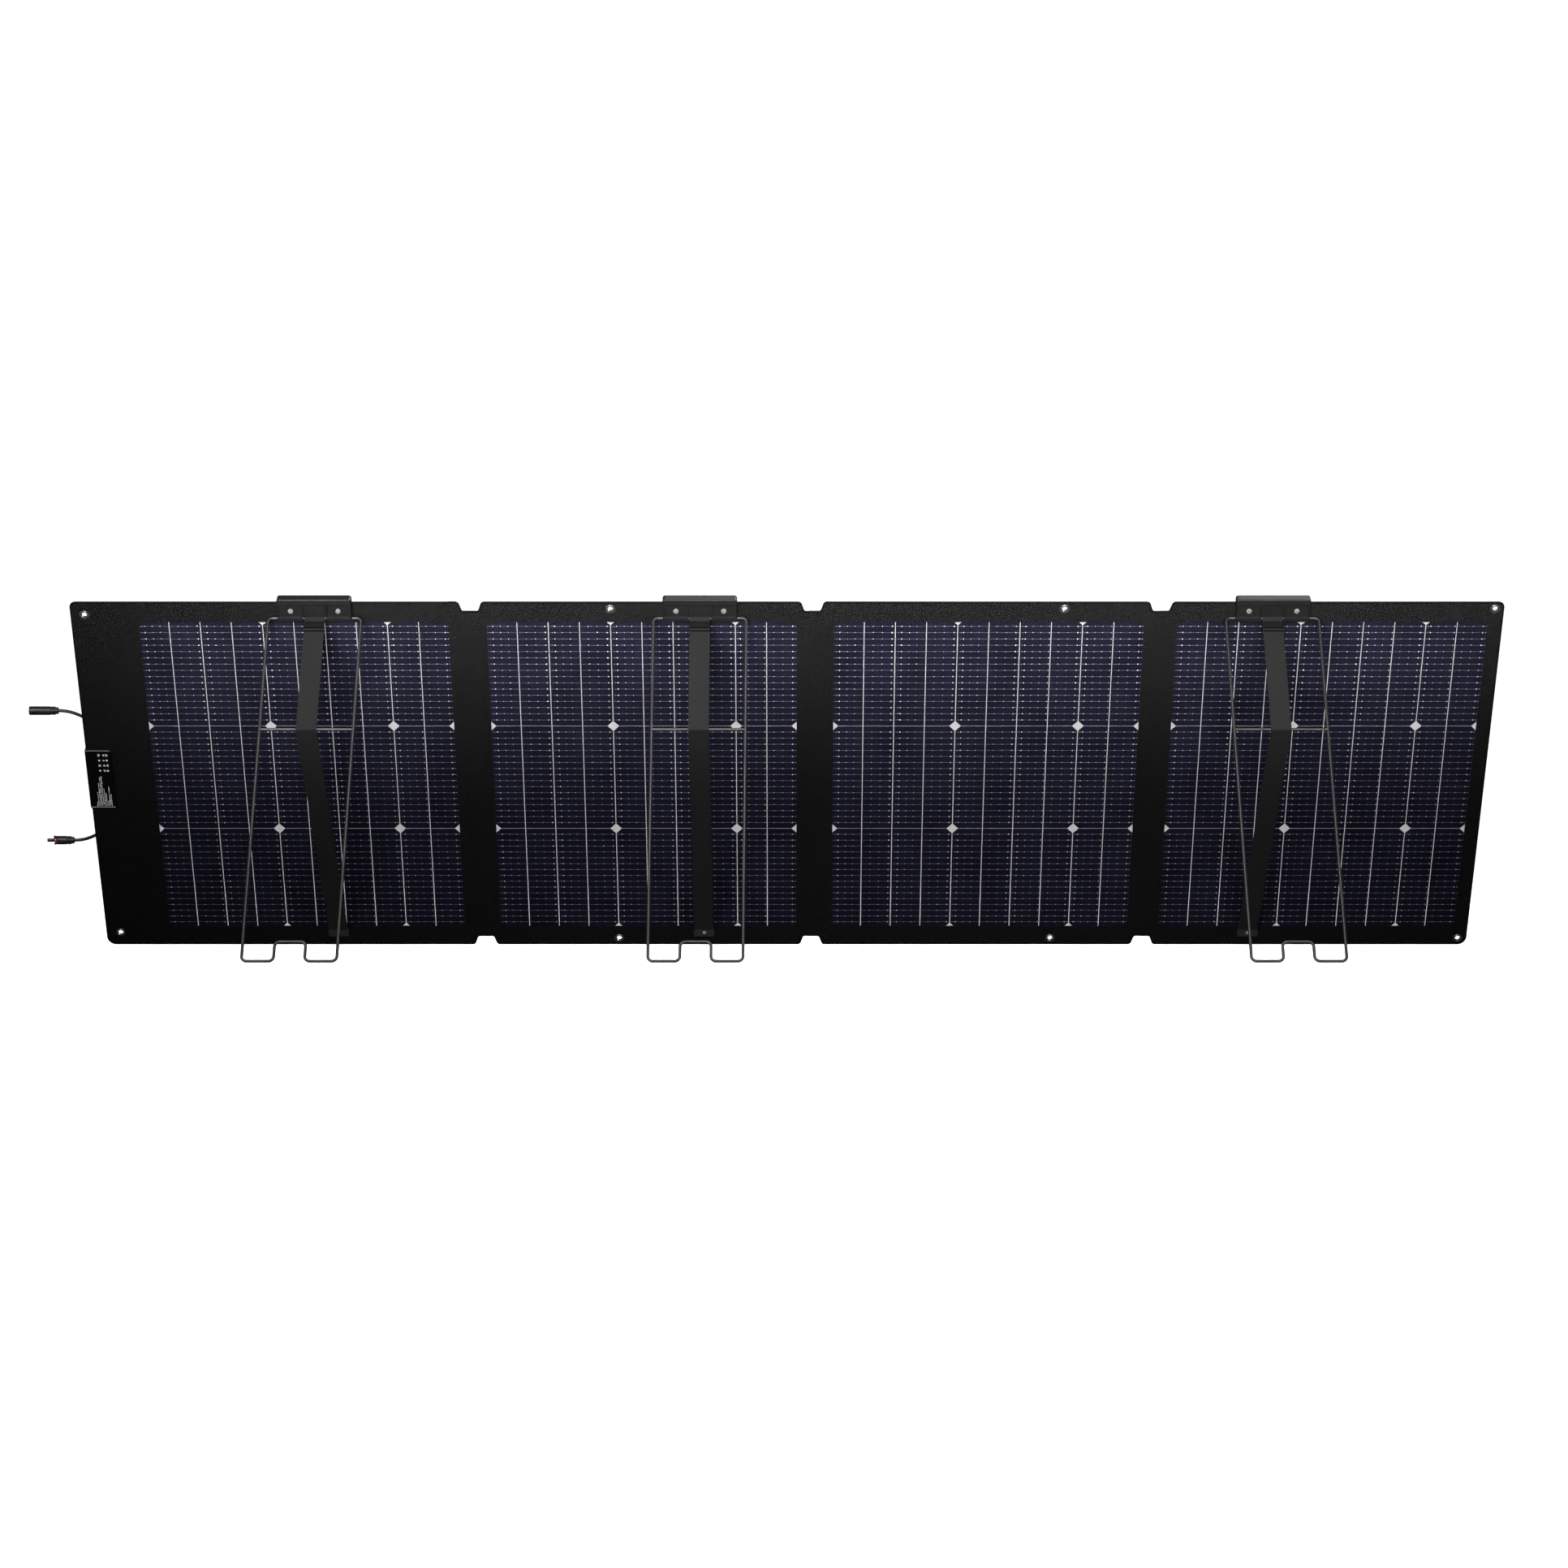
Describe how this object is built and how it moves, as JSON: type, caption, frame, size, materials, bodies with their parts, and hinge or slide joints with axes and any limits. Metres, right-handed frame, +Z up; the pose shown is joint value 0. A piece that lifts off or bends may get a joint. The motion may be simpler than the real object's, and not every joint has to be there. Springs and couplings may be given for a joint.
{
  "type": "folding solar panel",
  "caption": "Folding camping solar array with dark two-sided cells in black cloth, clamped brackets, bent-wire stands with stop straps, a junction box and two short cables.",
  "frame": {"origin": "on the ground, under the middle of the array's box, cables left out", "axes": "+X along the array, to the right seen from behind; +Y the way the sun side faces; +Z up"},
  "size_m": [2.2412, 0.6056, 0.5388],
  "materials": {
    "clear_laminate": "clear satin film",
    "silicon_cell": "dark blue silicon under film",
    "border_cloth": "black coated twill",
    "tinned_copper": "tinned",
    "eyelet_metal": "plated, worn satin",
    "bracket_plastic": "moulded satin",
    "screw_steel": "zinc plated",
    "black_wire": "black powder coat",
    "strap_webbing": "woven, matt",
    "black_rubber": "matt",
    "box_plastic": "moulded satin",
    "cable_jacket": "satin jacket",
    "red_seal": "matt",
    "connector_plastic": "moulded satin"
  },
  "bodies": {
    "panel_2": {"panel_2_laminate": "clear_laminate", "panel_2_rear_skin": "border_cloth", "panel_2_front_skin": "border_cloth", "panel_2_cells": "silicon_cell", "panel_2_eyelets": "eyelet_metal", "stand_2_rear_bracket": "bracket_plastic", "stand_2_front_bracket": "bracket_plastic", "stand_2_screws": "screw_steel", "stand_2_strap_lower": "strap_webbing", "stand_2_strap_anchor": "strap_webbing"},
    "seam_a": {"seam_a_cloth": "border_cloth", "seam_a_bus_ribbons": "tinned_copper"},
    "panel_1": {"panel_1_laminate": "clear_laminate", "panel_1_rear_skin": "border_cloth", "panel_1_front_skin": "border_cloth", "panel_1_cells": "silicon_cell", "panel_1_eyelets": "eyelet_metal", "stand_1_rear_bracket": "bracket_plastic", "stand_1_front_bracket": "bracket_plastic", "stand_1_screws": "screw_steel", "stand_1_strap_lower": "strap_webbing", "stand_1_strap_anchor": "strap_webbing", "junction_box_gasket": "black_rubber", "junction_box_rear_plate": "box_plastic", "junction_box_housing": "box_plastic", "junction_box_cable_glands": "box_plastic", "junction_box_terminals_and_diodes": "tinned_copper", "socket_cable": "cable_jacket", "plug_cable": "cable_jacket", "socket_connector_body": "connector_plastic", "plug_connector_body": "connector_plastic", "plug_connector_seal_ring": "red_seal", "socket_connector_cable_nut": "connector_plastic", "plug_connector_cable_nut": "connector_plastic", "connector_contacts": "tinned_copper"},
    "seam_b": {"seam_b_cloth": "border_cloth", "seam_b_bus_ribbons": "tinned_copper"},
    "panel_3": {"panel_3_laminate": "clear_laminate", "panel_3_rear_skin": "border_cloth", "panel_3_front_skin": "border_cloth", "panel_3_cells": "silicon_cell", "panel_3_eyelets": "eyelet_metal"},
    "seam_c": {"seam_c_cloth": "border_cloth", "seam_c_bus_ribbons": "tinned_copper"},
    "panel_4": {"panel_4_laminate": "clear_laminate", "panel_4_rear_skin": "border_cloth", "panel_4_front_skin": "border_cloth", "panel_4_cells": "silicon_cell", "panel_4_eyelets": "eyelet_metal", "stand_4_rear_bracket": "bracket_plastic", "stand_4_front_bracket": "bracket_plastic", "stand_4_screws": "screw_steel", "stand_4_strap_lower": "strap_webbing", "stand_4_strap_anchor": "strap_webbing"},
    "stand_1": {"stand_1_wire_frame": "black_wire", "stand_1_strap_upper": "strap_webbing"},
    "stand_2": {"stand_2_wire_frame": "black_wire", "stand_2_strap_upper": "strap_webbing"},
    "stand_4": {"stand_4_wire_frame": "black_wire", "stand_4_strap_upper": "strap_webbing"}
  },
  "joints": [
    {"name": "seam_a_inner_fold", "type": "hinge", "parent": "panel_2", "child": "seam_a", "pos_m": [-0.47165, 0.14323, 0.26555], "axis": [0, 0.518, -0.8554], "range_deg": [0, 90]},
    {"name": "seam_a_outer_fold", "type": "hinge", "parent": "seam_a", "child": "panel_1", "pos_m": [-0.50565, 0.14323, 0.26555], "axis": [0, 0.518, -0.8554], "range_deg": [0, 90]},
    {"name": "seam_b_inner_fold", "type": "hinge", "parent": "panel_2", "child": "seam_b", "pos_m": [0.03685, 0.14323, 0.26555], "axis": [0, -0.518, 0.8554], "range_deg": [0, 90]},
    {"name": "seam_b_outer_fold", "type": "hinge", "parent": "seam_b", "child": "panel_3", "pos_m": [0.06185, 0.14323, 0.26555], "axis": [0, -0.518, 0.8554], "range_deg": [0, 90]},
    {"name": "seam_c_inner_fold", "type": "hinge", "parent": "panel_3", "child": "seam_c", "pos_m": [0.56635, 0.14323, 0.26555], "axis": [0, -0.518, 0.8554], "range_deg": [0, 90]},
    {"name": "seam_c_outer_fold", "type": "hinge", "parent": "seam_c", "child": "panel_4", "pos_m": [0.57635, 0.14323, 0.26555], "axis": [0, -0.518, 0.8554], "range_deg": [0, 90]},
    {"name": "stand_1_fold", "type": "hinge", "parent": "panel_1", "child": "stand_1", "pos_m": [-0.71015, -0.01041, 0.50476], "axis": [1, 0, 0], "range_deg": [0, 61.2], "deforming": ["stand_1_strap_lower"]},
    {"name": "stand_2_fold", "type": "hinge", "parent": "panel_2", "child": "stand_2", "pos_m": [-0.13015, -0.01041, 0.50476], "axis": [1, 0, 0], "range_deg": [0, 61.2], "deforming": ["stand_2_strap_lower"]},
    {"name": "stand_4_fold", "type": "hinge", "parent": "panel_4", "child": "stand_4", "pos_m": [0.73185, -0.01041, 0.50476], "axis": [1, 0, 0], "range_deg": [0, 61.2], "deforming": ["stand_4_strap_lower"]}
  ]
}
